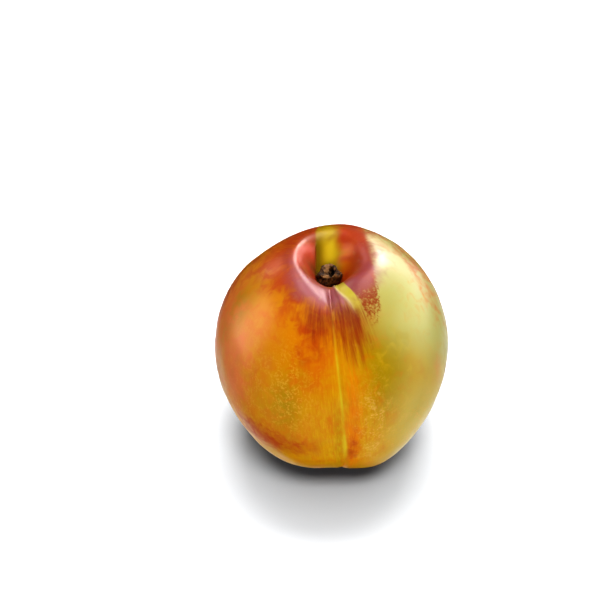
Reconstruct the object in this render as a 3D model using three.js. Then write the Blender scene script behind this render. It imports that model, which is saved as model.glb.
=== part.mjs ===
// A ripe nectarine, standing on its blossom end, with the woody stub of its stem in the cavity on top.
// Millimetres, +Z up. The origin is the centre of the flat spot that the fruit rests on.
// The suture, the shallow seam from the stem to the blossom end, runs down the -Y side.

import * as THREE from 'three';
import { ParametricGeometry } from 'three/addons/geometries/ParametricGeometry.js';

const { degToRad, smoothstep } = THREE.MathUtils;

// ---- Fruit: driving dimensions ----
const HALF_WIDTH = 34; // along X, from cheek to cheek
const HALF_DEPTH = 35.5; // along Y, from the suture to the back
const HALF_HEIGHT = 36.5; // along the stem's axis, before the spot and the cavity are taken off
const SPOT_RADIUS = 7.5; // the flat spot at the blossom end
const STEM_SHIFT = -1.1; // how far the stem's end leans along X

// The stem cavity is a bell-shaped funnel with a reach of its own on each side, and the shoulder round it
// sinks a little.
const CAVITY_DEPTH = 12;
const CAVITY_LEFT = 6.3;
const CAVITY_RIGHT = 7.4;
const CAVITY_FRONT = 7.6;
const CAVITY_BACK = 9.2;
const CAVITY_STEEPNESS = 2.5; // 2 is a plain bell, and more gives a flatter floor and a crisper rim
const SHOULDER_DROP = 1.4;
const SHOULDER_RADIUS = 15;

// The suture: a wide valley between the cheeks with a fine crease along its floor, which deepens at the rim.
const SUTURE_DRIFT = degToRad(8); // how far it wanders towards +X on its way down
const VALLEY_DEPTH = 1.1;
const VALLEY_HALF_ANGLE = degToRad(24);
const CREASE_DEPTH = 0.35;
const CREASE_DEPTH_AT_RIM = 0.9;
const CREASE_HALF_WIDTH = 0.9;
const CREASE_SHARPNESS = 1.5; // 2 is a round-bottomed groove, and less gives a sharper one

// The rim dips where the suture crosses it.
const DIP_DEPTH = 3;
const DIP_HALF_WIDTH = 6.5;
const DIP_RADIUS = 11; // from the stem's axis to the middle of the dip
const DIP_REACH = 6;

// Swells and flats that make the cheeks uneven: the direction they face, their spread and their height.
const SWELLS = [
  { name: 'back left flat', facing: [-0.5, 0.5, 0.7], spread: 28, height: -1.9 },
  { name: 'left shoulder swell', facing: [-0.85, -0.1, 0.5], spread: 28, height: 0.2 },
  { name: 'right shoulder swell', facing: [0.75, 0.45, 0.5], spread: 32, height: 0.4 },
  { name: 'back shoulder swell', facing: [0.15, 0.75, 0.64], spread: 22, height: 0.4 },
  { name: 'left cheek flat', facing: [-0.8, -0.3, -0.5], spread: 22, height: -0.7 },
  { name: 'right cheek flat', facing: [0.85, -0.3, -0.45], spread: 22, height: -0.8 },
  { name: 'lower right swell', facing: [0.45, -0.45, -0.77], spread: 34, height: 1.1 },
  { name: 'lower left swell', facing: [-0.25, -0.55, -0.8], spread: 30, height: 0.75 },
  { name: 'lower front flat', facing: [0, -0.75, -0.66], spread: 16, height: -0.9 },
  { name: 'right of the suture swell', facing: [0.35, -0.7, -0.62], spread: 16, height: 1 },
];

// Where each feature starts and ends. Polar angles are in radians from the stem.
const SPOT_POLAR = Math.PI - Math.asin(SPOT_RADIUS / HALF_WIDTH);
const SPOT_HEIGHT = HALF_HEIGHT * Math.cos(SPOT_POLAR);
const RELIEF_STARTS = [0.12, 0.45];
const RELIEF_ENDS = [2.6, 2.9]; // all relief fades out before the edge of the flat spot
const DRIFT_RANGE = [0.3, 2.6];
const CREASE_IS_DEEP = [0.45, 0.8];
const CAVITY_ENDS = [1.2, 1.5];
const STEM_SHIFT_ENDS = [0.3, 1.4];
const FRONT_RANGE = [-0.2, 0.5]; // the cosine of the angle from the suture

// ---- Stem stub: driving dimensions ----
const STUB_CLEARANCE = 0.3; // between the stub and the floor of the cavity
const STUB_FORWARD = 0.4; // from the stem's axis towards the front
const STUB_HEIGHT = 5.2;
const STUB_LEAN = degToRad(3); // towards the front
const STUB_LEAN_STARTS = 1; // height over the foot
const STUB_SLANT = 0.35; // how unevenly its end broke off
const STUB_SLANT_STARTS = 3; // height over the foot
const STUB_HIGH_SIDE = degToRad(46); // where the end is highest, from +X towards +Y

// Bark ridges and knobs: how many go round, their turn in radians per millimetre of height, their phase, and
// their height as a share of the radius.
const BARK_RIDGES = [
  { count: 3, turn: 0.6, phase: 0, share: 0.09 },
  { count: 5, turn: -1.1, phase: 2, share: 0.06 },
  { count: 9, turn: 1.7, phase: 0, share: 0.03 },
];

const AROUND = 80; // facets round the fruit
const ALONG = 44; // rings from the stem to the spot
const CROWDING_AROUND = 1.5; // how closely columns stand at the suture
const CROWDING_ALONG = 1.35; // how closely rings stand at the stem
const STUB_AROUND = 32;
const STUB_ALONG = 26;

const bell = (x) => Math.exp(-x * x);

// The angle from the suture of each column of facets. They stand closest together at the suture.
function awayFromSuture(share) {
  const side = 1 - 2 * share;
  return Math.PI * Math.sign(side) * Math.abs(side) ** CROWDING_AROUND;
}

// How far the surface stands out from the plain ellipsoid, for an outward direction.
function swellAt(outward) {
  let height = 0;
  for (const swell of SWELLS) {
    const facing = new THREE.Vector3(...swell.facing).normalize();
    height += swell.height * bell(outward.angleTo(facing) / degToRad(swell.spread));
  }
  return height;
}

// How deep the suture lies at an angle and a distance from its plane.
function sutureDepth(angle, distance, polar) {
  const valley = VALLEY_DEPTH * bell(angle / VALLEY_HALF_ANGLE);
  const atRim = 1 - smoothstep(polar, ...CREASE_IS_DEEP);
  const depth = THREE.MathUtils.lerp(CREASE_DEPTH, CREASE_DEPTH_AT_RIM, atRim);
  const onFront = smoothstep(Math.cos(angle), ...FRONT_RANGE);
  const crease = Math.exp(-(Math.abs(distance / CREASE_HALF_WIDTH) ** CREASE_SHARPNESS));
  return valley + depth * onFront * crease;
}

// How far the top sinks below the ellipsoid: the funnel, the shoulder and the dip in the rim.
function cavityDrop(x, y, angle, distance) {
  const radius = Math.hypot(x, y);
  const shareAcross = x / (x < 0 ? CAVITY_LEFT : CAVITY_RIGHT);
  const shareAlong = y / (y < 0 ? CAVITY_FRONT : CAVITY_BACK);
  const funnel = CAVITY_DEPTH * Math.exp(-(Math.hypot(shareAcross, shareAlong) ** CAVITY_STEEPNESS));
  const shoulder = SHOULDER_DROP * bell(radius / SHOULDER_RADIUS);
  const onFront = smoothstep(Math.cos(angle), ...FRONT_RANGE);
  const acrossDip = bell(distance / DIP_HALF_WIDTH) * bell((radius - DIP_RADIUS) / DIP_REACH);
  return funnel + shoulder + DIP_DEPTH * onFront * acrossDip;
}

// A point of the skin, by its angle from the suture and its polar angle from the stem.
function skinPoint(angle, polar, target) {
  const azimuth = degToRad(-90) + SUTURE_DRIFT * smoothstep(polar, ...DRIFT_RANGE) + angle;
  const x = HALF_WIDTH * Math.sin(polar) * Math.cos(azimuth);
  const y = HALF_DEPTH * Math.sin(polar) * Math.sin(azimuth);
  const z = HALF_HEIGHT * Math.cos(polar);
  const outward = new THREE.Vector3(x / HALF_WIDTH ** 2, y / HALF_DEPTH ** 2, z / HALF_HEIGHT ** 2);
  outward.normalize();
  const distance = Math.hypot(x, y) * Math.sin(angle);

  const beforeSpot = 1 - smoothstep(polar, ...RELIEF_ENDS);
  const seam = sutureDepth(angle, distance, polar) * smoothstep(polar, ...RELIEF_STARTS);
  const relief = (swellAt(outward) - seam) * beforeSpot;
  target.set(x, y, z).addScaledVector(outward, relief);

  const onTop = 1 - smoothstep(polar, ...CAVITY_ENDS);
  target.z -= onTop * cavityDrop(target.x, target.y, angle, distance) + SPOT_HEIGHT;
  target.x += STEM_SHIFT * (1 - smoothstep(polar, ...STEM_SHIFT_ENDS));
}

function fruitGeometry() {
  const spotShare = (ALONG - 1) / ALONG; // the last ring of facets is the flat spot
  const centreShare = (1 + spotShare) / 2;
  return new ParametricGeometry(
    (u, v, target) => {
      if (v > centreShare) {
        target.set(0, 0, 0);
        return;
      }
      const polar = SPOT_POLAR * Math.min(v / spotShare, 1) ** CROWDING_ALONG;
      skinPoint(awayFromSuture(u), polar, target);
    },
    AROUND,
    ALONG,
  );
}

// Height of the cavity's floor at a place near the stem's axis.
function cavityFloor(x, y) {
  const point = new THREE.Vector3();
  const azimuth = Math.atan2(y / HALF_DEPTH, x / HALF_WIDTH);
  const polar = Math.asin(Math.hypot(x / HALF_WIDTH, y / HALF_DEPTH));
  skinPoint(azimuth + degToRad(90), polar, point);
  return point.z;
}

// The stub's outline from its foot to the pit in its broken end, as radius and height over its foot.
const stubOutline = new THREE.SplineCurve([
  new THREE.Vector2(0, 0),
  new THREE.Vector2(2.1, 0.8),
  new THREE.Vector2(3.2, 1.7),
  new THREE.Vector2(3.75, 2.7),
  new THREE.Vector2(3.35, 3.6),
  new THREE.Vector2(3.1, 4.2),
  new THREE.Vector2(2.95, 4.8),
  new THREE.Vector2(2.3, STUB_HEIGHT),
  new THREE.Vector2(1.4, 5),
  new THREE.Vector2(0.7, 4.6),
  new THREE.Vector2(0, 4.4),
]);

// Bark ridges and knobs, as a share of the radius. They turn slowly round the stub as they climb.
function bark(angle, height) {
  let share = 1;
  for (const ridge of BARK_RIDGES) {
    share += ridge.share * Math.sin(ridge.count * angle + ridge.turn * height + ridge.phase);
  }
  return share;
}

// The stub stands on the cavity's floor, and its foot follows the floor with the clearance.
function stubGeometry() {
  const foot = cavityFloor(0, 0) + STUB_CLEARANCE;
  const sideways = new THREE.Vector3(1, 0, 0);
  return new ParametricGeometry(
    (u, v, target) => {
      const { x: radius, y: height } = stubOutline.getPoint(v);
      const angle = u * 2 * Math.PI;
      const reach = Math.max(radius, 0) * bark(angle, height);
      const slant = STUB_SLANT * smoothstep(height, STUB_SLANT_STARTS, STUB_HEIGHT) * Math.min(reach, 1);
      target.set(reach * Math.cos(angle), reach * Math.sin(angle), height);
      target.z += slant * Math.cos(angle - STUB_HIGH_SIDE);
      target.applyAxisAngle(sideways, STUB_LEAN * smoothstep(height, STUB_LEAN_STARTS, STUB_HEIGHT));
      target.y -= STUB_FORWARD;
      target.z = Math.max(target.z + foot, cavityFloor(target.x, target.y) + STUB_CLEARANCE);
      target.x += STEM_SHIFT;
    },
    STUB_AROUND,
    STUB_ALONG,
  );
}

const nectarine = new THREE.Group();
nectarine.name = 'nectarine';

const fruit = new THREE.Mesh(
  fruitGeometry(),
  new THREE.MeshStandardMaterial({ color: 0xe08a1e, roughness: 0.4, metalness: 0 }),
);
fruit.name = 'nectarine_fruit';
nectarine.add(fruit);

const stub = new THREE.Mesh(
  stubGeometry(),
  new THREE.MeshStandardMaterial({ color: 0x4a2f1c, roughness: 0.85, metalness: 0 }),
);
stub.name = 'stem_stub';
nectarine.add(stub);

export default nectarine;
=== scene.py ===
"""The looks of a ripe nectarine: its skin, the woody stub of its stem, a pale floor, soft light and a camera.

Metres, in the frame of the CAD. The origin is the centre of the flat spot that the fruit rests on, +Z is up
along the stem's axis, and the suture, the shallow seam from stem to blossom end, runs down the -Y side.
Both pieces repeat the formulas of the solids that they stand for, with finer facets and finer relief.
"""

import math

import bpy
import numpy as np
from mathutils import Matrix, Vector, noise


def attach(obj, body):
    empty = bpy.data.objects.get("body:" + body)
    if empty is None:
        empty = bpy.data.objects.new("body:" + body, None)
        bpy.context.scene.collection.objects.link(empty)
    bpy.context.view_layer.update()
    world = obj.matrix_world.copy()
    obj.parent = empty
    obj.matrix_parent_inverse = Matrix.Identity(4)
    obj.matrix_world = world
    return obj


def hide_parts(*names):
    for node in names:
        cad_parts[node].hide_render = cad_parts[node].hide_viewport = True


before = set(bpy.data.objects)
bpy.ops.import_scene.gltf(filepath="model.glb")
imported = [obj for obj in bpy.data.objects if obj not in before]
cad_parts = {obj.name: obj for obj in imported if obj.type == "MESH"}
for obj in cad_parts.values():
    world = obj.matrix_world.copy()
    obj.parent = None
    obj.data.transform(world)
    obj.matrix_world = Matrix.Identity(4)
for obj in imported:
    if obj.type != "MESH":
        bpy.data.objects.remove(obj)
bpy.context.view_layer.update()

MM = 0.001

# ---- Fruit: driving dimensions, the same as the solid's ----
HALF_WIDTH = 34 * MM
HALF_DEPTH = 35.5 * MM
HALF_HEIGHT = 36.5 * MM
SPOT_RADIUS = 7.5 * MM

STEM_SHIFT = -1.1 * MM  # the stem's end of the fruit leans this far towards -X
CAVITY_DEPTH = 12 * MM
CAVITY_LEFT = 6.3 * MM
CAVITY_RIGHT = 7.4 * MM
CAVITY_FRONT = 7.6 * MM
CAVITY_BACK = 9.2 * MM
CAVITY_STEEPNESS = 2.5
SHOULDER_DROP = 1.4 * MM
SHOULDER_RADIUS = 15 * MM

SUTURE_DRIFT = math.radians(8)
VALLEY_DEPTH = 1.1 * MM
VALLEY_HALF_ANGLE = math.radians(24)
CREASE_DEPTH = 0.35 * MM
CREASE_DEPTH_AT_RIM = 0.9 * MM
CREASE_HALF_WIDTH = 0.9 * MM
CREASE_SHARPNESS = 1.5
DIP_DEPTH = 3 * MM
DIP_HALF_WIDTH = 6.5 * MM
DIP_RADIUS = 11 * MM
DIP_REACH = 6 * MM

SWELLS = [
    # the direction that it faces, its spread in degrees and its height
    ("back left flat", (-0.5, 0.5, 0.7), 28, -1.9 * MM),
    ("left shoulder swell", (-0.85, -0.1, 0.5), 28, 0.2 * MM),
    ("right shoulder swell", (0.75, 0.45, 0.5), 32, 0.4 * MM),
    ("back shoulder swell", (0.15, 0.75, 0.64), 22, 0.4 * MM),
    ("left cheek flat", (-0.8, -0.3, -0.5), 22, -0.7 * MM),
    ("right cheek flat", (0.85, -0.3, -0.45), 22, -0.8 * MM),
    ("lower right swell", (0.45, -0.45, -0.77), 34, 1.1 * MM),
    ("lower left swell", (-0.25, -0.55, -0.8), 30, 0.75 * MM),
    ("lower front flat", (0, -0.75, -0.66), 16, -0.9 * MM),
    ("right of the suture swell", (0.35, -0.7, -0.62), 16, 1 * MM),
]

# Where each feature starts and ends. Polar angles are in radians from the stem.
SPOT_POLAR = math.pi - math.asin(SPOT_RADIUS / HALF_WIDTH)
SPOT_HEIGHT = HALF_HEIGHT * math.cos(SPOT_POLAR)
RELIEF_STARTS = (0.12, 0.45)
RELIEF_ENDS = (2.6, 2.9)
DRIFT_RANGE = (0.3, 2.6)
CREASE_IS_DEEP = (0.45, 0.8)
CAVITY_ENDS = (1.2, 1.5)
STEM_SHIFT_ENDS = (0.3, 1.4)
FRONT_RANGE = (-0.2, 0.5)  # the cosine of the angle from the suture

# ---- Fruit: fine relief, which the solid leaves out ----
SKIN_INSET = 0.1 * MM  # keeps the fine skin inside the solid's facets
WAVE_HEIGHT = 0.05 * MM  # gentle unevenness of the cheeks
WAVE_LENGTHS = (7 * MM, 16 * MM)
WAVES = 28
PLEAT_ANGLE = 9  # degrees from the suture, on the right lip of the cavity
PLEAT_HALF_ANGLE = 2.2
PLEAT_HEIGHT = 0.3 * MM
PLEAT_STARTS_RADIUS = (6 * MM, 9 * MM)
PLEAT_FADES_RADIUS = (16 * MM, 22 * MM)
FOLD_ACROSS = -3.6 * MM  # from the stem's axis to the fold in the back wall of the cavity
FOLD_DEPTH = 0.9 * MM
FOLD_SHARP_WIDTH = 0.5 * MM
FOLD_SOFT_WIDTH = 2.4 * MM
FOLD_STARTS_ALONG = (1.5 * MM, 4 * MM)
FOLD_FADES_ALONG = (6 * MM, 10 * MM)

# ---- Stem stub: driving dimensions, the same as the solid's ----
STUB_CLEARANCE = 0.3 * MM  # between the solid's foot and the floor of the cavity
STUB_CLEARANCE_SHARE = 0.2  # how much of it is left here
STUB_FORWARD = 0.4 * MM
STUB_HEIGHT = 5.2 * MM
STUB_LEAN = math.radians(3)
STUB_LEAN_STARTS = 1 * MM
STUB_SLANT = 0.35 * MM
STUB_SLANT_STARTS = 3 * MM
STUB_HIGH_SIDE = math.radians(46)
STUB_OUTLINE = [
    # millimetres: the distance from the stub's axis and the height above its foot
    (0, 0), (2.1, 0.8), (3.2, 1.7), (3.75, 2.7), (3.35, 3.6), (3.1, 4.2),
    (2.95, 4.8), (2.3, 5.2), (1.4, 5.0), (0.7, 4.6), (0, 4.4),
]
BARK_RIDGES = [(3, 0.6, 0, 0.09), (5, -1.1, 2, 0.06), (9, 1.7, 0, 0.03)]  # count, turn, phase, share

# ---- Stem stub: fine relief, which the solid leaves out ----
STUB_INSET = 0.25 * MM  # keeps the bark's scales inside the solid
KNOB_HEIGHT = 0.28 * MM
KNOB_SPACING = 1.6 * MM
SCALE_HEIGHT = 0.3 * MM
SCALE_SPACING = 0.7 * MM
GRAIN_HEIGHT = 0.06 * MM
GRAIN_SPACING = 0.3 * MM
SLIT_DEPTH = 1.5 * MM  # of the split in the stub's broken end
SLIT_RIGHT = 0.6 * MM  # from the stub's axis to the split's middle
SLIT_FORWARD = 0.9 * MM
SLIT_HALF_WIDTH = 0.6 * MM
SLIT_HALF_LENGTH = 1.8 * MM
SLIT_STARTS_UP = (3.4 * MM, 4.2 * MM)  # above the foot
RIDGE_LEFT = 1.2 * MM  # from the split's middle to a ridge of pale wood
RIDGE_HALF_WIDTH = 0.8 * MM
BROKEN_STARTS_UP = (3.9 * MM, 4.7 * MM)

AROUND = 400  # facets round the fruit
ALONG = 240  # rings from the stem to the spot
CROWDING_AROUND = 1.5
CROWDING_ALONG = 1.35
STUB_AROUND = 220
STUB_ALONG = 150

# ---- Colours of the skin and then of the stub, as on a screen ----
GOLD = "#c49004"
YELLOW = "#d0a820"
MUSTARD = "#a08404"
SEAM = "#c8b028"
# the colour below is for painted shade in the cavity's fold and round the stub
SHADE_OLIVE = "#5c4708"
LIME = "#b0aa62"
FRESH = "#bcae3c"
KHAKI = "#c0aa5a"
ORANGE = "#c46802"
FLAME = "#d07c00"
SALMON = "#da784e"
BRICK = "#8e300e"
RED = "#a83a0e"
WINE = "#742820"
MAUVE = "#90505a"
ROSE = "#c45440"
CREAM = "#d6c49c"
STRAW = "#d2a83c"
APRICOT = "#dcaa6c"
SCAR = "#5a3a1c"

BARK_DARK = "#20140a"
BARK_BROWN = "#54351a"
BARK_TAN = "#684626"
BROKEN_WOOD = "#94704a"
# the colour below is painted shade in the split of the stub's broken end
SPLIT_SHADE = "#140b06"

# Each patch: its azimuth from the front towards +X and its polar angle from the stem, its half width and half
# height, all in degrees, and how strongly it covers.
PATCHES = {
    "mustard": [
        ("right of the suture", 28, 64, 14, 32, 1.0),
        ("left flank", -71, 54, 8, 16, 0.9),
        ("left of the suture", -22, 82, 9, 26, 0.7),
        ("low left", -38, 110, 10, 12, 0.35),
        ("back", 150, 110, 40, 30, 0.6),
    ],
    "lime": [
        ("right cheek", 76, 58, 36, 36, 1.0),
        ("right edge", 100, 92, 20, 34, 0.85),
        ("right shoulder", 92, 34, 36, 18, 0.95),
        ("back", 172, 95, 30, 24, 0.8),
        ("left back", -128, 118, 26, 18, 0.7),
    ],
    "khaki": [
        ("lower right cheek", 46, 100, 26, 32, 1.0),
        ("right shoulder", 106, 26, 18, 9, 0.85),
    ],
    # Mostly painted light in pale cream: a painted sheen on the right shoulder, and a painted pale rim of
    # reflected light along the right edges.
    "cream_and_sheen": [
        ("right shoulder", 100, 25, 26, 12, 0.75),
        ("under the right cheek", 48, 120, 26, 12, 0.45),
        ("right edge", 94, 88, 16, 34, 0.75),
        ("lower right edge", 82, 118, 16, 18, 0.55),
    ],
    "orange": [
        ("left cheek", -46, 52, 22, 24, 0.66),
        ("left lower cheek", -54, 94, 20, 26, 0.45),
        ("left flank", -92, 84, 18, 40, 0.8),
        ("left of the suture", -11, 52, 13, 24, 0.75),
        ("low left", -24, 98, 20, 12, 0.4),
        ("back", 150, 62, 60, 26, 0.8),
        # round the blossom end the orange is partly painted shade, deepened to darken the underside
        ("round the blossom end", 0, 158, 180, 16, 0.9),
    ],
    "salmon": [
        # along the left flank the pale salmon is partly a painted rim of reflected light
        ("left flank", -88, 82, 16, 40, 0.9),
        ("left cheek", -60, 68, 12, 14, 0.7),
        ("lower left cheek", -54, 84, 10, 14, 0.8),
        ("right edge", 60, 78, 6, 14, 0.3),
    ],
    "freckled": [
        ("lower right cheek", 48, 104, 20, 18, 1.0),
        ("right of the suture", 19, 94, 8, 22, 1.0),
    ],
    "streaked": [
        ("right of the suture", 9.5, 96, 4.5, 34, 1.0),
    ],
    "fibrous": [
        ("along the suture", 3, 94, 20, 34, 1.0),
        ("left cheek", -50, 84, 22, 24, 0.5),
    ],
    "red": [
        ("left shoulder", -92, 24, 46, 14, 0.8),
        ("left lip", -38, 22, 30, 12, 0.9),
        ("back shoulder", -165, 30, 27, 20, 1.0),
        ("left flank edge", -108, 62, 20, 26, 0.45),
        ("left of the suture", -14, 46, 12, 12, 0.55),
        ("right back edge", 142, 46, 16, 11, 0.5),
        ("right shoulder", 104, 44, 9, 8, 0.42),
        ("low left", -34, 104, 22, 9, 0.75),
        ("foot of the strip", 9.5, 104, 4, 14, 0.5),
        ("back flank", -160, 70, 26, 30, 0.7),
    ],
    "net": [
        ("left of the suture", -22, 76, 12, 22, 1.0),
        ("left cheek", -50, 84, 18, 24, 0.7),
        ("right of the suture", 17, 88, 7, 20, 0.9),
        ("lower right cheek", 40, 100, 18, 20, 0.4),
    ],
    "streaked red": [
        ("right of the suture", 13, 42, 8, 14, 1.0),
        ("left of the suture", -8, 40, 6, 12, 0.5),
    ],
    "wine": [
        ("left of the suture", -12, 38, 9, 10, 0.5),
        ("right of the suture", 14, 36, 8, 9, 0.5),
        ("left lip", -60, 22, 26, 7, 0.25),
        ("back shoulder", 178, 20, 26, 9, 0.6),
    ],
    # Painted sheen: mauve for the milky reflection on the red skin of the lobes and lips round the cavity.
    "mauve_sheen": [
        ("right lobe", 6, 24, 7, 9, 0.9),
        ("left lobe", -20, 25, 13, 7, 1.0),
        ("left lip", -62, 19, 18, 4, 0.5),
        ("right lip", 52, 21, 24, 8, 0.7),
    ],
}

# Markings that follow the cavity and the suture. "radius" is the distance from the stem's axis, "across" and
# "along" are the distances from it towards +X and +Y, "angle" is in degrees from the suture towards +X, and
# "down" is in degrees from the stem. Each pair says where a marking starts and where it is full, or where it
# starts to fade and where it ends.
TOP_ENDS_DOWN = 80  # the markings round the cavity stay above this

WEDGE_WIDTH = 2.6 * MM
WEDGE_LEFT_ANGLES = (7, 16)  # at the stem and further out
WEDGE_SWINGS_RADIUS = (9 * MM, 20 * MM)
WEDGE_FADES_RADIUS = (15 * MM, 24 * MM)
WEDGE_EDGE_FADES_RADIUS = (15 * MM, 22 * MM)
WEDGE_EDGE_HALF_ANGLE = 1.6

STRIPE_LEFT_ACROSS = (-4.3 * MM, -2.7 * MM)
STRIPE_RIGHT_ACROSS = (-0.5 * MM, 6.5 * MM)
STRIPE_STARTS_ALONG = (0, 1.5 * MM)
STRIPE_NARROWS_ALONG = (12 * MM, 26 * MM)
STRIPE_FADES_ALONG = (13 * MM, 27 * MM)
STRIPE_NARROWING = 0.75
STRIPE_LIGHT = ((0.6 * MM, 8 * MM), (2.2 * MM, 5 * MM))  # its middle and its half sizes, across and along
EMBER = ((4.5 * MM, 5 * MM), (2.2 * MM, 5 * MM))  # a warm patch on the wall right of the stripe

# Painted shade: olive darkening along the fold in the cavity's back wall and round the foot of the stub,
# where shade falls.
FOLD_SHADE = 0.8
FOLD_SHADE_ACROSS = FOLD_ACROSS + 0.7 * MM
FOLD_SHADE_HALF_WIDTH = 1.3 * MM
FOLD_SHADE_FADES_ALONG = (8 * MM, 14 * MM)
FLOOR_SHADE_FADES_RADIUS = (3.5 * MM, 7.5 * MM)
SHADE_STARTS_ALONG = (-1 * MM, 2 * MM)
SHADE_FADES_ACROSS = (1.5 * MM, 4.5 * MM)

BAND_EDGE_ACROSS = (10 * MM, 12.4 * MM)
BAND_EDGE_SLOPE = 0.09
BAND_BACK_ANGLES = (150, 190)
BAND_STARTS_ALONG = (-26 * MM, -12 * MM)
BAND_FADES_DOWN = (36, 52)
SPECKLES_FADE_ALONG = (-13 * MM, -7 * MM)

# The cavity's left inner wall: red blush, with a lighter rose on it as painted light where light falls on the
# wall.
LEFT_WALL_ACROSS = (3 * MM, 4 * MM)  # towards -X
LEFT_WALL_FADES_RADIUS = (8 * MM, 11 * MM)
LEFT_WALL_STARTS_ALONG = (-7 * MM, -3 * MM)

LINE_HALF_WIDTHS = (0.34 * MM, 0.64 * MM)  # of the suture's fine line, near the stem and lower
LINE_WIDENS_DOWN = (80, 105)
LINE_STARTS_DOWN = (32, 60)
LINE_FADES_DOWN = (100, 122)
BESIDE_DISTANCE = 1.6 * MM  # from the suture to the middle of the mustard strip on its left
BESIDE_HALF_WIDTH = 1.5 * MM
BESIDE_STARTS_DOWN = (70, 90)
BESIDE_FADES_DOWN = (110, 130)

SCAR_RADIUS = 1.5 * MM
SCAR_STARTS_DOWN = 150

# ---- Light, camera and image ----
FLOOR_COLOUR = (0.15, 0.176, 0.208, 1)  # linear, and white under the strong lamps that light only it
WARM = (1.16, 1, 0.86)  # the tint of the floor's main lamps
IMAGE_SIZE = 600  # pixels
LENS = 60  # millimetres, as Blender counts them
SENSOR = 36
CAMERA_PITCH = math.radians(38)  # how far it looks down
CAMERA_DISTANCE = 293.8 * MM
FRUIT_CENTRE = Vector((0, 0, 35.6 * MM))
CENTRE_PIXEL = (331, 346)  # where the fruit's centre stands in the picture


def smoothstep(x, low, high):
    t = np.clip((x - low) / (high - low), 0, 1)
    return t * t * (3 - 2 * t)


def fading(x, low, high):
    return 1 - smoothstep(x, low, high)


def bell(x):
    return np.exp(-x * x)


# ---------------------------------------------------------------- the fruit's shape


def away_from_suture(share):
    """The angle from the suture of a column of facets. Columns stand closest together at the suture."""
    side = 1 - 2 * share
    return math.pi * np.sign(side) * np.abs(side) ** CROWDING_AROUND


def swell_at(outward):
    """How far the surface stands out from the plain ellipsoid, for outward directions."""
    height = np.zeros(outward.shape[:-1])
    for _, facing, spread, rise in SWELLS:
        direction = np.array(facing) / np.linalg.norm(facing)
        apart = np.arccos(np.clip(outward @ direction, -1, 1))
        height += rise * bell(apart / math.radians(spread))
    return height


def suture_depth(angle, distance, polar):
    """A wide valley between the cheeks with a fine crease along its floor, which deepens at the rim."""
    valley = VALLEY_DEPTH * bell(angle / VALLEY_HALF_ANGLE)
    at_rim = fading(polar, *CREASE_IS_DEEP)
    depth = CREASE_DEPTH + (CREASE_DEPTH_AT_RIM - CREASE_DEPTH) * at_rim
    on_front = smoothstep(np.cos(angle), *FRONT_RANGE)
    return valley + depth * on_front * np.exp(-(np.abs(distance / CREASE_HALF_WIDTH) ** CREASE_SHARPNESS))


def cavity_drop(across, along, angle, distance):
    """How far the top sinks below the ellipsoid: the funnel, the shoulder and the dip in the rim."""
    radius = np.hypot(across, along)
    share_across = across / np.where(across < 0, CAVITY_LEFT, CAVITY_RIGHT)
    share_along = along / np.where(along < 0, CAVITY_FRONT, CAVITY_BACK)
    funnel = CAVITY_DEPTH * np.exp(-(np.hypot(share_across, share_along) ** CAVITY_STEEPNESS))
    shoulder = SHOULDER_DROP * bell(radius / SHOULDER_RADIUS)
    on_front = smoothstep(np.cos(angle), *FRONT_RANGE)
    across_dip = bell(distance / DIP_HALF_WIDTH) * bell((radius - DIP_RADIUS) / DIP_REACH)
    return funnel + shoulder + DIP_DEPTH * on_front * across_dip


def skin_point(angle, polar):
    """Points of the skin, by their angle from the suture and their polar angle from the stem."""
    azimuth = math.radians(-90) + SUTURE_DRIFT * smoothstep(polar, *DRIFT_RANGE) + angle
    half = np.array([HALF_WIDTH, HALF_DEPTH, HALF_HEIGHT])
    level = np.sin(polar)
    direction = np.stack([level * np.cos(azimuth), level * np.sin(azimuth), np.cos(polar)], -1)
    plain = direction * half
    outward = direction / half
    outward /= np.linalg.norm(outward, axis=-1, keepdims=True)
    distance = np.hypot(plain[..., 0], plain[..., 1]) * np.sin(angle)

    before_spot = fading(polar, *RELIEF_ENDS)
    seam = suture_depth(angle, distance, polar) * smoothstep(polar, *RELIEF_STARTS)
    point = plain + outward * ((swell_at(outward) - seam) * before_spot)[..., None]

    on_top = fading(polar, *CAVITY_ENDS)
    point[..., 2] -= on_top * cavity_drop(point[..., 0], point[..., 1], angle, distance) + SPOT_HEIGHT
    point[..., 0] += STEM_SHIFT * fading(polar, *STEM_SHIFT_ENDS)
    return point


def gentle_waves(points):
    """Faint unevenness, as a sum of waves that run in random directions."""
    random = np.random.default_rng(7)
    height = np.zeros(len(points))
    for _ in range(WAVES):
        direction = random.normal(size=3)
        direction /= np.linalg.norm(direction)
        length = random.uniform(*WAVE_LENGTHS)
        height += np.sin(points @ direction * 2 * math.pi / length + random.uniform(0, 2 * math.pi))
    return WAVE_HEIGHT * height / math.sqrt(WAVES / 2)


def fold_share(across, along):
    """How much a point lies in the fold of the cavity's back wall: sharp on its left, soft on its right."""
    aside = across - FOLD_ACROSS
    along_wall = smoothstep(along, *FOLD_STARTS_ALONG) * fading(along, *FOLD_FADES_ALONG)
    across_fold = smoothstep(aside, 0, FOLD_SHARP_WIDTH) * np.exp(-np.maximum(aside, 0) / FOLD_SOFT_WIDTH)
    return across_fold * along_wall


def pleat_share(angle, radius):
    """The low ridge that runs out over the right lip of the cavity, close to the suture."""
    aside = (np.degrees(angle) - PLEAT_ANGLE) / PLEAT_HALF_ANGLE
    return bell(aside) * smoothstep(radius, *PLEAT_STARTS_RADIUS) * fading(radius, *PLEAT_FADES_RADIUS)


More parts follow.
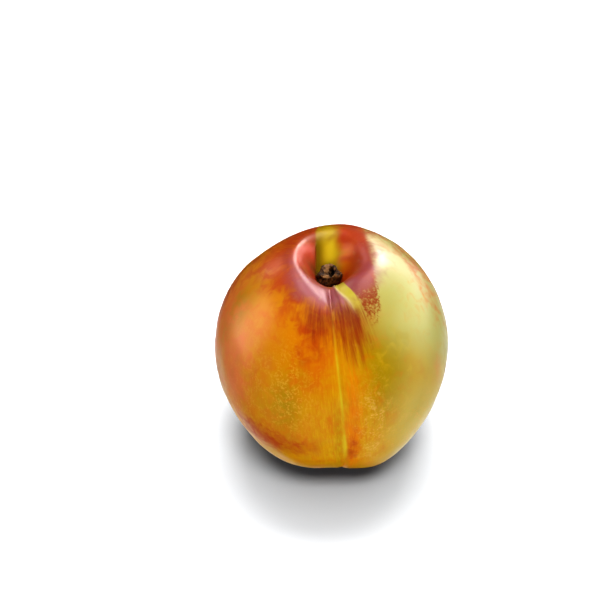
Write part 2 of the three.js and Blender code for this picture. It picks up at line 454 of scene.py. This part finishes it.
def closed_mesh(name, rings, first, last):
    """A closed body from rings of points, listed from one end to the other, with a point at each end.

    Seen from the first end the rings run clockwise, which makes the facets face outward.
    """
    along, around, _ = rings.shape
    points = np.concatenate([[first], rings.reshape(-1, 3), [last]])
    end = len(points) - 1
    faces = []
    for i in range(around):
        j = (i + 1) % around
        faces.append((0, 1 + j, 1 + i))
        faces.append((end, end - around + i, end - around + j))
        for k in range(along - 1):
            row = 1 + k * around
            faces.append((row + i, row + j, row + around + j, row + around + i))
    mesh = bpy.data.meshes.new(name)
    mesh.from_pydata(points.tolist(), [], faces)
    mesh.shade_smooth()
    piece = bpy.data.objects.new(name, mesh)
    bpy.context.scene.collection.objects.link(piece)
    return piece


def move_along_normals(mesh, height):
    normals = np.zeros(len(mesh.vertices) * 3)
    mesh.vertex_normals.foreach_get("vector", normals)
    places = np.zeros_like(normals)
    mesh.vertices.foreach_get("co", places)
    moved = places.reshape(-1, 3) + normals.reshape(-1, 3) * height[:, None]
    mesh.vertices.foreach_set("co", moved.ravel())
    mesh.update()


def add_values(mesh, name, values):
    """Keeps a number for each point of a mesh, which its material reads by name."""
    attribute = mesh.attributes.new(name, "FLOAT", "POINT")
    attribute.data.foreach_set("value", np.ascontiguousarray(values, np.float32))


# ---------------------------------------------------------------- the skin's colours


def layer_cover(layer, azimuth, polar):
    """How strongly the patches of a layer cover each point, from 0 to 1."""
    bare = np.ones_like(azimuth)
    for _, middle, down, half_width, half_height, strength in PATCHES[layer]:
        aside = (azimuth - middle + 180) % 360 - 180
        aside = aside * np.sin(np.radians(polar))
        bare *= 1 - strength * bell(aside / half_width) * bell((polar - down) / half_height)
    return 1 - bare


def spot(across, along, centre, half_sizes):
    """A soft round patch of the top, from 0 to 1."""
    return bell((across - centre[0]) / half_sizes[0]) * bell((along - centre[1]) / half_sizes[1])


def wedge_edges(radius):
    """The angles of the wedge's two edges, at distances from the stem's axis."""
    first, second = WEDGE_LEFT_ANGLES
    left = first + (second - first) * smoothstep(radius, *WEDGE_SWINGS_RADIUS)
    return left, left + np.degrees(WEDGE_WIDTH / np.maximum(radius, 5 * MM))


def top_values(across, along, angle, radius, front):
    """Ground colour without blush, a wedge that runs out from the cavity and a stripe up its back wall, and
    painted shade in the fold and round the stub.
    """
    left, right = wedge_edges(radius)
    wedge = smoothstep(angle, left, left + 1.5) * fading(angle, right, right + 2)
    wedge *= fading(radius, *WEDGE_FADES_RADIUS) * front
    wedge_edge = bell((angle - left - 1) / WEDGE_EDGE_HALF_ANGLE) * front
    wedge_edge *= fading(radius, *WEDGE_EDGE_FADES_RADIUS)

    narrowed = across / (1 - STRIPE_NARROWING * smoothstep(along, *STRIPE_NARROWS_ALONG))
    stripe = smoothstep(narrowed, *STRIPE_LEFT_ACROSS) * fading(narrowed, *STRIPE_RIGHT_ACROSS)
    stripe *= smoothstep(along, *STRIPE_STARTS_ALONG) * fading(along, *STRIPE_FADES_ALONG)

    # painted shade along the fold and on the cavity's floor round the stub
    fold_shade = FOLD_SHADE * bell((across - FOLD_SHADE_ACROSS) / FOLD_SHADE_HALF_WIDTH)
    fold_shade *= fading(along, *FOLD_SHADE_FADES_ALONG)
    painted_shade = np.maximum(fold_shade, fading(radius, *FLOOR_SHADE_FADES_RADIUS))
    painted_shade *= smoothstep(along, *SHADE_STARTS_ALONG) * fading(across, *SHADE_FADES_ACROSS)
    return {
        "wedge": wedge,
        "wedge_edge": wedge_edge,
        "stripe": stripe,
        "stripe_light": spot(across, along, *STRIPE_LIGHT),
        "ember": spot(across, along, *EMBER),
        "painted_shade": painted_shade,
    }


def wall_values(across, along, angle, radius, down):
    """Blush on the cavity's walls. On the right it has a straight edge and runs out into flecks in front. On
    the left wall it turns to a lighter rose, painted light where light falls on it.
    """
    _, right = wedge_edges(radius)
    turned = angle % 360
    band = fading(across + BAND_EDGE_SLOPE * along, *BAND_EDGE_ACROSS)
    band *= smoothstep(turned, right, right + 3) * fading(turned, *BAND_BACK_ANGLES)
    band *= smoothstep(along, *BAND_STARTS_ALONG) * fading(down, *BAND_FADES_DOWN)
    left_wall = smoothstep(-across, *LEFT_WALL_ACROSS) * fading(radius, *LEFT_WALL_FADES_RADIUS)
    left_wall *= down < TOP_ENDS_DOWN
    return {
        "band": np.maximum(band, left_wall),
        "left_wall": left_wall * smoothstep(along, *LEFT_WALL_STARTS_ALONG),
        "speckled": 0.15 + 0.95 * fading(along, *SPECKLES_FADE_ALONG),
    }


def seam_values(distance, down, front):
    """The fine pale line of the suture and a mustard strip on its left."""
    narrow, wide = LINE_HALF_WIDTHS
    half_width = narrow + (wide - narrow) * smoothstep(down, *LINE_WIDENS_DOWN)
    line = bell(distance / half_width) * front * smoothstep(down, *LINE_STARTS_DOWN)
    beside = bell((distance + BESIDE_DISTANCE) / BESIDE_HALF_WIDTH) * front
    return {
        "line": line * fading(down, *LINE_FADES_DOWN),
        "beside": beside * smoothstep(down, *BESIDE_STARTS_DOWN) * fading(down, *BESIDE_FADES_DOWN),
    }


def add_skin_values(mesh, angle, polar):
    """The places of the skin's colours, as values on the points of the mesh."""
    drift = SUTURE_DRIFT * smoothstep(polar, *DRIFT_RANGE)
    azimuth, down = np.degrees(angle + drift), np.degrees(polar)
    places = np.zeros(len(mesh.vertices) * 3)
    mesh.vertices.foreach_get("co", places)
    across, along, _ = places.reshape(-1, 3).T
    across = across - STEM_SHIFT
    radius = np.hypot(across, along)
    from_suture = np.degrees(angle)
    front = np.cos(angle) > 0

    for name, values in top_values(across, along, from_suture, radius, front).items():
        add_values(mesh, name, values * (down < TOP_ENDS_DOWN))
    for name, values in wall_values(across, along, from_suture, radius, down).items():
        add_values(mesh, name, values)
    for name, values in seam_values(radius * np.sin(angle), down, front).items():
        add_values(mesh, name, values)
    for layer in PATCHES:
        add_values(mesh, layer, layer_cover(layer, azimuth, down))
    add_values(mesh, "scar", bell(radius / SCAR_RADIUS) * (down > SCAR_STARTS_DOWN))
    peel = mesh.attributes.new("peel", "FLOAT_VECTOR", "POINT")
    vectors = np.stack([np.cos(angle), np.sin(angle), polar], -1)
    peel.data.foreach_set("vector", np.ascontiguousarray(vectors, np.float32).ravel())


def make_fruit():
    shares = np.arange(AROUND) / AROUND
    rows = np.arange(1, ALONG + 1) / ALONG
    angle, polar = np.meshgrid(away_from_suture(shares), SPOT_POLAR * rows**CROWDING_ALONG)
    rings = skin_point(angle, polar)
    top = skin_point(np.zeros(1), np.zeros(1))[0]
    fruit = closed_mesh("fruit_skin", rings, top, (0, 0, 0))

    angle = np.concatenate([[0], angle.ravel(), [0]])
    polar = np.concatenate([[0], polar.ravel(), [math.pi]])
    points = np.concatenate([[top], rings.reshape(-1, 3), [(0, 0, 0)]])
    across, along = points[:, 0] - STEM_SHIFT, points[:, 1]
    before_spot = fading(polar, *RELIEF_ENDS)
    height = gentle_waves(points) * before_spot * smoothstep(polar, *RELIEF_STARTS)
    on_top = polar < math.pi / 2
    height -= FOLD_DEPTH * fold_share(across, along) * on_top
    height += PLEAT_HEIGHT * pleat_share(angle, np.hypot(across, along)) * on_top
    height -= SKIN_INSET * (polar < SPOT_POLAR - 0.01)
    move_along_normals(fruit.data, height)
    add_skin_values(fruit.data, angle, polar)
    return fruit


# ---------------------------------------------------------------- the stub's shape


def spline_points(outline, shares):
    """Points along a Catmull-Rom spline through the outline, for shares from 0 to 1."""
    outline = np.array(outline, float)
    last = len(outline) - 1
    place = shares * last
    index = np.minimum(place.astype(int), last - 1)
    t = (place - index)[:, None]
    before, here = outline[np.maximum(index - 1, 0)], outline[index]
    there, beyond = outline[index + 1], outline[np.minimum(index + 2, last)]
    start, finish = (there - before) / 2, (beyond - here) / 2
    cubic = (2 * here - 2 * there + start + finish) * t ** 3
    square = (-3 * here + 3 * there - 2 * start - finish) * t ** 2
    return cubic + square + start * t + here


def bark(angle, height):
    """Bark ridges and knobs, as a share of the radius. They turn slowly round the stub as they climb."""
    waves = [share * np.sin(n * angle + turn * height / MM + phase) for n, turn, phase, share in BARK_RIDGES]
    return 1 + sum(waves)


def make_stub():
    """The solid's outline, with its foot closer to the floor of the cavity, so that no gap shows."""
    foot = skin_point(np.zeros(1), np.zeros(1))[0][2] + STUB_CLEARANCE * STUB_CLEARANCE_SHARE
    outline = spline_points(STUB_OUTLINE, np.arange(1, STUB_ALONG) / STUB_ALONG) * MM
    angles = np.arange(STUB_AROUND) / STUB_AROUND * 2 * math.pi
    rings = np.zeros((len(outline), STUB_AROUND, 3))
    for ring, (radius, height) in zip(rings, outline):
        reach = max(radius, 0) * bark(angles, height)
        slant = STUB_SLANT * smoothstep(height, STUB_SLANT_STARTS, STUB_HEIGHT)
        ring[:, 0] = reach * np.cos(angles)
        ring[:, 1] = reach * np.sin(angles)
        ring[:, 2] = height + slant * np.cos(angles - STUB_HIGH_SIDE) * np.minimum(reach / MM, 1)
        lean = STUB_LEAN * smoothstep(height, STUB_LEAN_STARTS, STUB_HEIGHT)
        along, up = ring[:, 1].copy(), ring[:, 2].copy()
        ring[:, 1] = along * math.cos(lean) - up * math.sin(lean)
        ring[:, 2] = up * math.cos(lean) + along * math.sin(lean)
    base = np.array([STEM_SHIFT, -STUB_FORWARD, foot])
    rings += base
    stub = closed_mesh("stem_stub_bark", rings, base, rings[-1].mean(0))
    roughen_stub(stub.data, foot)
    return stub


def roughen_stub(mesh, foot):
    """Cracks, scales and knobs on the bark, and a split across the broken end, with painted shade in the
    split.
    """
    places = np.zeros(len(mesh.vertices) * 3)
    mesh.vertices.foreach_get("co", places)
    across, along, up = places.reshape(-1, 3).T
    rise = up - foot
    aside, ahead = across - STEM_SHIFT - SLIT_RIGHT, along + STUB_FORWARD + SLIT_FORWARD
    slit = np.hypot(aside / SLIT_HALF_WIDTH, ahead / SLIT_HALF_LENGTH)
    pit = fading(slit, 0.7, 1.3) * smoothstep(rise, *SLIT_STARTS_UP)
    ridge = bell((aside + RIDGE_LEFT) / RIDGE_HALF_WIDTH)

    height = np.zeros(len(mesh.vertices))
    for vertex in mesh.vertices:
        place = vertex.co
        knobs = noise.noise(place / KNOB_SPACING)
        scales = abs(noise.noise(Vector((place.x, place.y, place.z * 0.6)) / SCALE_SPACING))
        grain = noise.noise(place / GRAIN_SPACING)
        height[vertex.index] = SCALE_HEIGHT * scales - KNOB_HEIGHT * knobs - GRAIN_HEIGHT * grain
    height -= STUB_INSET + SLIT_DEPTH * pit
    move_along_normals(mesh, height)
    add_values(mesh, "broken", smoothstep(rise, *BROKEN_STARTS_UP) * (0.25 + 0.75 * ridge))
    add_values(mesh, "pit", pit)


# ---------------------------------------------------------------- materials


def linear(code):
    """A screen colour as Blender's linear colour."""
    shares = [int(code[i : i + 2], 16) / 255 for i in (1, 3, 5)]
    return [c / 12.92 if c <= 0.04045 else ((c + 0.055) / 1.055) ** 2.4 for c in shares] + [1]


class Nodes:
    """A material's nodes, with a short call for each kind that the materials here use."""

    def __init__(self, name):
        self.material = bpy.data.materials.new(name)
        self.material.use_nodes = True
        self.tree = self.material.node_tree
        self.shader = self.tree.nodes["Principled BSDF"]

    def add(self, kind, inputs, **settings):
        node = self.tree.nodes.new("ShaderNode" + kind)
        for key, value in settings.items():
            setattr(node, key, value)
        for key, value in inputs.items():
            self.put(node.inputs[key], value)
        return node

    def put(self, socket, value):
        if isinstance(value, bpy.types.NodeSocket):
            self.tree.links.new(value, socket)
        else:
            socket.default_value = value

    def value(self, name):
        return self.add("Attribute", {}, attribute_name=name).outputs["Fac"]

    def vector(self, name):
        return self.add("Attribute", {}, attribute_name=name).outputs["Vector"]

    def place(self):
        return self.add("TexCoord", {}).outputs["Object"]

    def stretched(self, vector, factors):
        return self.add("VectorMath", {0: vector, 1: factors}, operation="MULTIPLY").outputs["Vector"]

    def noise(self, vector, scale, detail=3, roughness=0.55, distortion=0):
        """Noise that is spread over the whole range from 0 to 1."""
        inputs = {"Vector": vector, "Scale": scale, "Detail": detail, "Roughness": roughness}
        raw = self.add("TexNoise", {**inputs, "Distortion": distortion}).outputs["Fac"]
        return self.add("MapRange", {"Value": raw, "From Min": 0.3, "From Max": 0.7}).outputs["Result"]

    def maths(self, operation, first, second=0.0):
        return self.add("Math", {0: first, 1: second}, operation=operation).outputs["Value"]

    def ramp(self, value, low, high, to_low=0.0, to_high=1.0):
        inputs = {"Value": value, "From Min": low, "From Max": high, "To Min": to_low, "To Max": to_high}
        return self.add("MapRange", inputs, interpolation_type="SMOOTHSTEP").outputs["Result"]

    def average(self, first, second, share):
        inputs = {0: share, 2: first, 3: second}
        return self.add("Mix", inputs, data_type="FLOAT").outputs[0]

    def blend(self, share, under, over):
        node = self.add("Mix", {0: share}, data_type="RGBA")
        self.put(node.inputs[6], linear(under) if isinstance(under, str) else under)
        self.put(node.inputs[7], linear(over) if isinstance(over, str) else over)
        return node.outputs[2]

    def times(self, first, second):
        return self.maths("MULTIPLY", first, second)

    def ragged(self, cover, pattern, depth, softness):
        """A cover whose edge follows a pattern: depth is how far the pattern moves it."""
        wobble = self.times(self.maths("SUBTRACT", pattern, 0.5), depth)
        return self.ramp(self.maths("ADD", cover, wobble), 0.5 - softness, 0.5 + softness)

    def layer(self, name, pattern, depth, softness):
        """A layer of patches with a ragged edge that keeps to their neighbourhood."""
        near = self.ramp(self.value(name), 0.04, 0.3)
        return self.times(self.ragged(self.value(name), pattern, depth, softness), near)


def skin_colour(nodes, peel, place):
    """The skin's colour, in layers from the ground colour up."""
    streaks = nodes.noise(nodes.stretched(peel, (26, 26, 3.4)), 1, 4, 0.6)
    fine_streaks = nodes.noise(nodes.stretched(peel, (70, 70, 9)), 1, 3, 0.6)
    mottle = nodes.noise(place, 330, 3, 0.5, 0.6)
    clouds = nodes.noise(place, 120, 2, 0.5, 0.4)
    drift = nodes.noise(place, 60, 2, 0.5)
    mixed = nodes.average(mottle, clouds, 0.5)
    grainy = nodes.average(nodes.average(mottle, clouds, 0.4), streaks, 0.1)
    streaky = nodes.average(streaks, fine_streaks, 0.5)
    speckles = nodes.noise(place, 1500, 2, 0.6)
    twisted = nodes.noise(nodes.stretched(peel, (44, 44, 12)), 1, 3, 0.6, 0.6)
    fibres = nodes.average(fine_streaks, twisted, 0.5)
    veins = nodes.maths("ABSOLUTE", nodes.maths("SUBTRACT", nodes.noise(place, 340, 3, 0.6, 0.5), 0.5))
    net = nodes.times(nodes.ramp(veins, 0.2, 0.0), nodes.ramp(speckles, 0.3, 0.7))

    # ground colour, softly mottled where it is warm
    colour = nodes.blend(nodes.ragged(nodes.value("mustard"), drift, 0.3, 0.45), GOLD, MUSTARD)
    colour = nodes.blend(nodes.ramp(mixed, 0.5, 0.9, 0, 0.4), colour, YELLOW)
    colour = nodes.blend(nodes.ramp(mixed, 0.5, 0.1, 0, 0.5), colour, ORANGE)
    colour = nodes.blend(nodes.layer("lime", drift, 0.2, 0.36), colour, LIME)
    colour = nodes.blend(nodes.layer("khaki", drift, 0.2, 0.4), colour, KHAKI)
    # pale cream, mostly a painted sheen on the right shoulder and a painted pale rim along the right edges
    colour = nodes.blend(nodes.times(nodes.layer("cream_and_sheen", drift, 0.3, 0.5), 0.85), colour, CREAM)

    # blush, from pale to deep, with a mottled or streaked edge to each layer
    colour = nodes.blend(nodes.times(nodes.layer("orange", grainy, 1.2, 0.5), 0.9), colour, ORANGE)
    colour = nodes.blend(nodes.times(nodes.layer("streaked", streaky, 1.1, 0.4), 0.92), colour, FLAME)
    colour = nodes.blend(nodes.times(nodes.value("beside"), 0.4), colour, MUSTARD)
    fibrous = nodes.value("fibrous")
    colour = nodes.blend(nodes.times(fibrous, nodes.ramp(fibres, 0.52, 0.2, 0, 0.6)), colour, ORANGE)
    colour = nodes.blend(nodes.times(fibrous, nodes.ramp(fibres, 0.5, 0.85, 0, 0.6)), colour, YELLOW)
    colour = nodes.blend(nodes.times(nodes.times(net, nodes.value("net")), 0.7), colour, STRAW)
    freckles = nodes.ramp(nodes.average(speckles, mottle, 0.5), 0.55, 0.85)
    colour = nodes.blend(nodes.times(nodes.times(nodes.value("freckled"), freckles), 0.5), colour, APRICOT)
    # salmon skin, made paler as a painted rim of reflected light along the left flank
    colour = nodes.blend(nodes.times(nodes.layer("salmon", mixed, 0.5, 0.5), 0.7), colour, SALMON)
    colour = nodes.blend(nodes.times(nodes.layer("red", grainy, 1.0, 0.5), 0.9), colour, RED)
    red_streaks = nodes.layer("streaked red", nodes.average(fibres, streaks, 0.6), 1.1, 0.7)
    colour = nodes.blend(nodes.times(red_streaks, 0.9), colour, BRICK)
    colour = nodes.blend(nodes.times(nodes.layer("wine", streaky, 0.6, 0.5), 0.75), colour, WINE)

    # the cavity's walls and the lobes on both sides of the suture
    speckled = nodes.value("speckled")
    band = nodes.ragged(nodes.value("band"), nodes.average(speckles, mottle, 0.25), speckled, 0.45)
    band = nodes.times(band, nodes.ramp(nodes.value("band"), 0.02, 0.2))
    ember = nodes.times(nodes.value("ember"), nodes.ramp(clouds, 0.1, 0.7))
    band_colour = nodes.blend(nodes.ramp(speckled, 0.2, 1.1), nodes.blend(ember, RED, ORANGE), BRICK)
    colour = nodes.blend(nodes.times(band, 0.9), colour, band_colour)
    # mauve: red skin with a painted milky sheen on the lobes and lips
    colour = nodes.blend(nodes.times(nodes.layer("mauve_sheen", grainy, 0.5, 0.5), 0.85), colour, MAUVE)
    # painted light: a lighter rose on the cavity's left inner wall, where light falls
    colour = nodes.blend(nodes.times(nodes.value("left_wall"), 0.7), colour, ROSE)

    # bare ground colour again in the stripe, the wedge and along the suture
    stripe = nodes.ragged(nodes.value("stripe"), clouds, 0.6, 0.45)
    light = nodes.times(nodes.value("stripe_light"), nodes.ramp(clouds, 0, 0.6))
    colour = nodes.blend(nodes.times(stripe, 0.92), colour, nodes.blend(light, MUSTARD, SEAM))
    # painted shade: olive in the fold of the back wall and round the foot of the stub
    colour = nodes.blend(nodes.times(nodes.value("painted_shade"), 0.75), colour, SHADE_OLIVE)
    wedge = nodes.ragged(nodes.value("wedge"), mottle, 0.5, 0.4)
    colour = nodes.blend(nodes.times(wedge, 0.9), colour, FRESH)
    colour = nodes.blend(nodes.times(nodes.value("wedge_edge"), 0.6), colour, CREAM)
    line = nodes.times(nodes.value("line"), nodes.ramp(clouds, 0.2, 0.8, 0.35, 0.95))
    colour = nodes.blend(line, colour, SEAM)
    return nodes.blend(nodes.ragged(nodes.value("scar"), speckles, 0.3, 0.25), colour, SCAR)


def skin_material():
    nodes = Nodes("nectarine_skin")
    peel, place = nodes.vector("peel"), nodes.place()
    shader = nodes.shader
    nodes.put(shader.inputs["Base Color"], skin_colour(nodes, peel, place))
    nodes.put(shader.inputs["Roughness"], nodes.ramp(nodes.noise(place, 330, 3, 0.5, 0.6), 0, 1, 0.31, 0.41))
    shader.inputs["IOR"].default_value = 1.45
    shader.inputs["Specular IOR Level"].default_value = 0.19
    shader.inputs["Subsurface Weight"].default_value = 0.1
    shader.inputs["Subsurface Radius"].default_value = (1.0, 0.35, 0.1)
    shader.inputs["Subsurface Scale"].default_value = 2.5 * MM
    pores = nodes.noise(place, 900, 2, 0.5)
    bump = nodes.add("Bump", {"Height": pores, "Strength": 0.05, "Distance": 0.1 * MM})
    nodes.put(shader.inputs["Normal"], bump.outputs["Normal"])
    return nodes.material


def bark_material():
    nodes = Nodes("stub_bark")
    place = nodes.place()
    grain = nodes.noise(nodes.stretched(place, (1, 1, 0.35)), 1800, 5, 0.65)
    lumps = nodes.noise(place, 600, 4, 0.6)
    colour = nodes.blend(nodes.ramp(grain, 0.38, 0.62), BARK_DARK, BARK_BROWN)
    colour = nodes.blend(nodes.ramp(lumps, 0.5, 0.7, 0, 0.6), colour, BARK_TAN)
    broken = nodes.ragged(nodes.value("broken"), lumps, 1.2, 0.3)
    colour = nodes.blend(nodes.times(broken, 0.85), colour, BROKEN_WOOD)
    # painted shade: near black in the split across the broken end
    colour = nodes.blend(nodes.value("pit"), colour, SPLIT_SHADE)
    nodes.put(nodes.shader.inputs["Base Color"], colour)
    nodes.put(nodes.shader.inputs["Roughness"], nodes.ramp(grain, 0.3, 0.7, 0.65, 0.85))
    nodes.shader.inputs["Specular IOR Level"].default_value = 0.2
    bump = nodes.add("Bump", {"Height": grain, "Strength": 0.5, "Distance": 0.15 * MM})
    nodes.put(nodes.shader.inputs["Normal"], bump.outputs["Normal"])
    return nodes.material


def floor_material():
    nodes = Nodes("pale_floor")
    nodes.shader.inputs["Base Color"].default_value = FLOOR_COLOUR
    nodes.shader.inputs["Roughness"].default_value = 0.9
    nodes.shader.inputs["Specular IOR Level"].default_value = 0.2
    return nodes.material


# ---------------------------------------------------------------- floor, light and camera


def facing(azimuth, elevation):
    """A direction, by its azimuth in degrees from the front towards +X and its elevation."""
    azimuth, elevation = math.radians(azimuth), math.radians(elevation)
    level = math.cos(elevation)
    return Vector((level * math.sin(azimuth), -level * math.cos(azimuth), math.sin(elevation)))


def add_softbox(name, direction, distance, size, brightness, lit=(), tint=(1, 1, 1)):
    """A soft panel that faces the fruit. Its brightness is its radiance, 1 being a white that just clips.

    With objects in "lit" it gives them diffuse light and is seen in no gloss. With none, it is seen in
    the gloss alone.
    """
    light = bpy.data.lights.new(name, "AREA")
    light.shape = "RECTANGLE"
    light.size, light.size_y = size
    light.energy = brightness * size[0] * size[1] * math.pi
    light.color = tint
    lamp = bpy.data.objects.new(name, light)
    lamp.location = FRUIT_CENTRE + direction * distance
    lamp.rotation_euler = direction.to_track_quat("Z", "Y").to_euler()
    lamp.visible_diffuse = bool(lit)
    lamp.visible_glossy = not lit
    bpy.context.scene.collection.objects.link(lamp)
    if lit:
        receivers = bpy.data.collections.new(name + "_lights")
        for piece in lit:
            receivers.objects.link(piece)
        lamp.light_linking.receiver_collection = receivers


def add_lights(floor, pieces):
    """Lamps for the pieces, lamps for the floor, and panels that show only in the gloss of the skin.

    "sweep" in front and "drop" behind throw the soft shadows on the floor. The floor isn't seen in the gloss,
    and the two "bounce" panels below it stand in for its reflection.
    """
    add_softbox("top", facing(180, 84), 0.9, (0.6, 0.6), 5.3, pieces)
    add_softbox("front", facing(10, 26), 1.0, (0.9, 0.5), 3.3, pieces)
    add_softbox("sweep", facing(4, 61), 2.5, (1.0, 0.6), 58, [floor], WARM)
    add_softbox("drop", facing(174, 72), 1.2, (0.8, 0.5), 36, [floor], WARM)
    add_softbox("ceiling", facing(0, 90), 1.5, (1.8, 1.8), 6.5, [floor], WARM)
    add_softbox("low_fill", facing(0, 30), 1.5, (3, 0.8), 1.6, [floor])
    add_softbox("fill", facing(0, 90), 1.5, (3, 3), 0.35, pieces)
    add_softbox("key", facing(152, 31), 0.8, (0.24, 0.27), 25)
    add_softbox("overhead", facing(155, 66), 0.7, (0.5, 0.3), 8)
    add_softbox("left_panel", facing(-92, 15), 0.8, (0.5, 0.7), 6.2)
    add_softbox("left_back_panel", facing(-142, 28), 0.8, (0.25, 0.3), 5)
    add_softbox("right_panel", facing(118, 14), 0.8, (0.8, 0.5), 6)
    add_softbox("left_bounce", facing(-142, -50), 0.5, (0.36, 0.36), 1.0)
    add_softbox("right_bounce", facing(134, -42), 0.5, (0.36, 0.36), 1.0)


def add_background():
    """A white background, which lights nothing."""
    world = bpy.data.worlds.new("background")
    world.use_nodes = True
    background = world.node_tree.nodes["Background"]
    background.inputs["Color"].default_value = (1, 1, 1, 1)
    background.inputs["Strength"].default_value = 1
    world.cycles_visibility.diffuse = False
    world.cycles_visibility.glossy = False
    bpy.context.scene.world = world


def add_floor(half_width=0.5):
    corners = [(-1, -1), (1, -1), (1, 1), (-1, 1)]
    mesh = bpy.data.meshes.new("floor")
    mesh.from_pydata([(x * half_width, y * half_width, 0) for x, y in corners], [], [(0, 1, 2, 3)])
    floor = bpy.data.objects.new("floor", mesh)
    bpy.context.scene.collection.objects.link(floor)
    mesh.materials.append(floor_material())
    floor.visible_glossy = False
    return floor


def add_camera():
    focal = LENS / SENSOR * IMAGE_SIZE
    right = Vector((1, 0, 0))
    forward = Vector((0, math.cos(CAMERA_PITCH), -math.sin(CAMERA_PITCH)))
    down = forward.cross(right)
    across = (CENTRE_PIXEL[0] - IMAGE_SIZE / 2) / focal
    below = (CENTRE_PIXEL[1] - IMAGE_SIZE / 2) / focal
    sight = (right * across + down * below + forward).normalized()
    data = bpy.data.cameras.new("camera")
    data.lens = LENS
    data.sensor_width = SENSOR
    data.clip_start = 0.01
    camera = bpy.data.objects.new("camera", data)
    camera.location = FRUIT_CENTRE - sight * CAMERA_DISTANCE
    camera.rotation_euler = (math.radians(90) - CAMERA_PITCH, 0, 0)
    bpy.context.scene.collection.objects.link(camera)
    bpy.context.scene.camera = camera


bpy.context.scene.view_settings.view_transform = "Standard"
bpy.context.scene.view_settings.look = "High Contrast"
add_camera()
floor = add_floor()
fruit = make_fruit()
fruit.data.materials.append(skin_material())
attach(fruit, "root")
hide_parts("nectarine_fruit")

stub = make_stub()
stub.data.materials.append(bark_material())
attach(stub, "root")
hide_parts("stem_stub")

add_background()
add_lights(floor, [fruit, stub])
